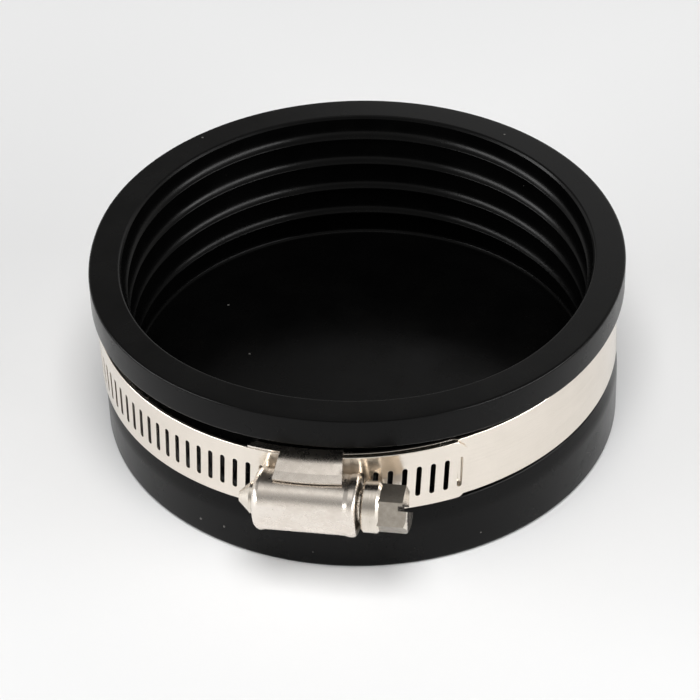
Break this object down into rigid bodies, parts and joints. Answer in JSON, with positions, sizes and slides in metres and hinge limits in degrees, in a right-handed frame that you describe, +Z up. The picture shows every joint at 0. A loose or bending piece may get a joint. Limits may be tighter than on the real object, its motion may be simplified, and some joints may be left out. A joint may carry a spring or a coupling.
{
  "type": "pipe end cap with worm-drive clamp",
  "caption": "Flexible rubber end cap for a pipe: a ribbed cup with a thick rim and a groove that holds a slotted stainless worm-drive clamp.",
  "frame": {"origin": "centre of the cap's flat base face", "axes": "+Z up along the cap's axis towards its open mouth; -Y towards the clamp's screw housing; +X the side of the screw's head"},
  "size_m": [0.124, 0.1353, 0.044],
  "materials": {
    "rubber": "satin moulded black rubber",
    "band_steel": "cold-rolled stainless strip, faint lengthwise lines",
    "housing_steel": "pressed stainless sheet, satin",
    "screw_steel": "turned and rolled stainless, bright"
  },
  "bodies": {
    "cap": {"end_cap": "rubber"},
    "clamp": {"saddle": "housing_steel", "screw_housing": "housing_steel", "band_plain": "band_steel"},
    "screw": {"worm_screw": "screw_steel"},
    "band": {"band_slotted": "band_steel"}
  },
  "joints": [
    {"name": "clamp_swivel", "type": "hinge", "parent": "cap", "child": "clamp", "pos_m": [0, 0, 0.0244], "axis": [-0.0291, 0.0057, 0.9996], "continuous": true},
    {"name": "screw_turn", "type": "hinge", "parent": "clamp", "child": "screw", "pos_m": [0.00001, -0.0663, 0.02418], "axis": [0.9996, 0.0001, 0.0291], "range_deg": [-720, 1080]},
    {"name": "band_travel", "type": "hinge", "parent": "clamp", "child": "band", "pos_m": [0, 0, 0.0244], "axis": [-0.0291, 0.0057, 0.9996], "range_deg": [-9, 6]}
  ],
  "couplings": [
    {"joint": "band_travel", "follows": "screw_turn", "ratio": -0.0083333}
  ]
}
